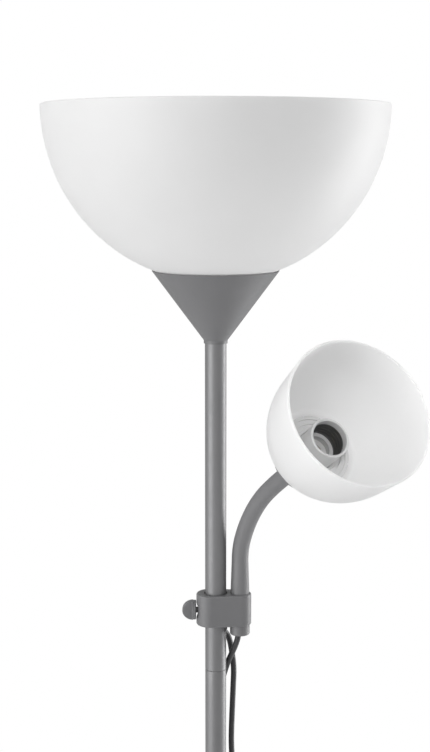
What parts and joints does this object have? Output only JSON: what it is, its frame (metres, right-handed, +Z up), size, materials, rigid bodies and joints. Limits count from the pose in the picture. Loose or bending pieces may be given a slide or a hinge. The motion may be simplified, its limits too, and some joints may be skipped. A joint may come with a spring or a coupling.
{
  "type": "floor lamp",
  "caption": "Torchiere floor lamp with an open white uplight bowl, a slim grey pole and a small white reading light on a flexible arm clamped to the pole.",
  "frame": {"origin": "centre of the base's underside, on the floor", "axes": "+Z up along the pole, +X towards the side of the pole that carries the arm, -Y towards the front, where the reading light leans"},
  "size_m": [0.2985, 0.4459, 1.78],
  "materials": {
    "grey_paint": "satin grey paint",
    "grey_plastic": "satin grey moulding",
    "grey_sleeve": "smooth matt grey sleeve",
    "white_plastic": "opal white, low gloss",
    "holder_plastic": "light grey, fine matt",
    "black_rubber": "matt black",
    "cord_grey": "dark grey flex, low sheen",
    "dark_plastic": "dark grey moulding",
    "ballast": "raw casting",
    "steel": "zinc plated",
    "brass": "bare brass",
    "contact_metal": "nickel plated",
    "liner_plastic": "natural nylon",
    "tie_plastic": "matt black"
  },
  "bodies": {
    "stand": {"base_pad": "black_rubber", "base_plate": "steel", "base_cover": "grey_paint", "base_weight": "ballast", "lock_nuts": "steel", "base_stud": "steel", "pole_foot": "grey_plastic", "pole_section_1": "grey_paint", "pole_section_2": "grey_paint", "pole_section_3": "grey_paint", "pole_section_4": "grey_paint", "pole_section_5": "grey_paint", "pole_joiners": "steel", "cable_grommet": "dark_plastic", "pole_top_plug": "steel", "top_nipple": "steel", "shade_cone": "grey_plastic", "bowl_shade": "white_plastic", "inner_cable": "cord_grey", "uplight_holder": "holder_plastic", "uplight_thread_shell": "contact_metal", "uplight_centre_contact": "brass", "uplight_shade_ring": "holder_plastic", "lead_lower": "cord_grey", "flex_upper": "cord_grey", "flex_lower": "cord_grey", "flex_coil": "cord_grey", "coil_ties": "tie_plastic", "plug_body": "dark_plastic", "plug_pins": "contact_metal", "switch_front": "dark_plastic", "switch_back": "dark_plastic", "switch_reliefs": "dark_plastic", "switch_screws": "steel"},
    "clamp_liner_body": {"clamp_liner": "liner_plastic", "lead_upper": "cord_grey"},
    "bracket": {"clamp_bracket": "grey_plastic", "screw_insert": "brass", "arm_stud": "steel", "arm_nut": "grey_plastic", "arm_boot": "grey_sleeve"},
    "pad": {"screw_pad": "liner_plastic"},
    "thumb_screw": {"thumb_screw_shank": "steel", "thumb_screw_head": "grey_plastic"},
    "neck_1": {"neck_segment_1": "grey_sleeve"},
    "neck_2": {"neck_segment_2": "grey_sleeve"},
    "neck_3": {"neck_segment_3": "grey_sleeve"},
    "neck_4": {"neck_segment_4": "grey_sleeve"},
    "neck_5": {"neck_segment_5": "grey_sleeve"},
    "neck_6": {"neck_segment_6": "grey_sleeve"},
    "reading_head": {"head_ferrule": "grey_sleeve", "head_nipple": "steel", "head_cap": "grey_plastic", "reading_shade": "white_plastic", "reading_holder": "holder_plastic", "reading_thread_shell": "contact_metal", "reading_centre_contact": "brass", "reading_shade_ring": "holder_plastic"},
    "upper_rocker": {"switch_rocker_1": "dark_plastic"},
    "lower_rocker": {"switch_rocker_2": "dark_plastic"}
  },
  "joints": [
    {"name": "bracket_height", "type": "slide", "parent": "stand", "child": "clamp_liner_body", "axis": [0, 0, 1], "range_m": [0, 0.04], "deforming": ["lead_lower", "lead_upper"]},
    {"name": "bracket_swivel", "type": "hinge", "parent": "clamp_liner_body", "child": "bracket", "pos_m": [0, 0, 1.35645], "axis": [0, 0, 1], "range_deg": [-60, 20], "deforming": ["lead_upper"]},
    {"name": "pad_slide", "type": "slide", "parent": "bracket", "child": "pad", "axis": [-1, 0, 0], "range_m": [0, 0.002]},
    {"name": "thumb_turn", "type": "hinge", "parent": "pad", "child": "thumb_screw", "pos_m": [-0.0165, 0, 1.3552], "axis": [1, 0, 0], "range_deg": [0, 720]},
    {"name": "arm_bend_1", "type": "hinge", "parent": "bracket", "child": "neck_1", "pos_m": [0.0207, 0, 1.398], "axis": [0.8918, 0.4524, 0], "range_deg": [-6, 18]},
    {"name": "arm_sway_1", "type": "hinge", "parent": "neck_1", "child": "neck_2", "pos_m": [0.02292, -0.00438, 1.41925], "axis": [0.4067, -0.8015, -0.4384], "range_deg": [-18, 18]},
    {"name": "arm_bend_2", "type": "hinge", "parent": "neck_2", "child": "neck_3", "pos_m": [0.02808, -0.01454, 1.43803], "axis": [0.8918, 0.4524, 0], "range_deg": [-6, 18]},
    {"name": "arm_sway_2", "type": "hinge", "parent": "neck_3", "child": "neck_4", "pos_m": [0.0346, -0.0274, 1.45462], "axis": [0.3171, -0.6251, -0.7132], "range_deg": [-18, 18]},
    {"name": "arm_bend_3", "type": "hinge", "parent": "neck_4", "child": "neck_5", "pos_m": [0.04219, -0.04236, 1.46882], "axis": [0.8918, 0.4524, 0], "range_deg": [-6, 18]},
    {"name": "arm_sway_3", "type": "hinge", "parent": "neck_5", "child": "neck_6", "pos_m": [0.05041, -0.05856, 1.48122], "axis": [0.2438, -0.4805, -0.8425], "range_deg": [-18, 18]},
    {"name": "arm_bend_4", "type": "hinge", "parent": "neck_6", "child": "reading_head", "pos_m": [0.0588, -0.07509, 1.49307], "axis": [0.8918, 0.4524, 0], "range_deg": [-6, 18]},
    {"name": "upper_rocker_press", "type": "hinge", "parent": "stand", "child": "upper_rocker", "pos_m": [0.03, 0.0095, 0.965], "axis": [-1, 0, 0], "range_deg": [0, 16]},
    {"name": "lower_rocker_press", "type": "hinge", "parent": "stand", "child": "lower_rocker", "pos_m": [0.03, 0.0095, 0.935], "axis": [-1, 0, 0], "range_deg": [0, 16]}
  ],
  "couplings": [
    {"joint": "thumb_turn", "follows": "pad_slide", "rad_per_m": 6283},
    {"joint": "arm_bend_2", "follows": "arm_bend_1", "ratio": 1},
    {"joint": "arm_bend_3", "follows": "arm_bend_1", "ratio": 1},
    {"joint": "arm_bend_4", "follows": "arm_bend_1", "ratio": 1},
    {"joint": "arm_sway_2", "follows": "arm_sway_1", "ratio": 1},
    {"joint": "arm_sway_3", "follows": "arm_sway_1", "ratio": 1}
  ]
}
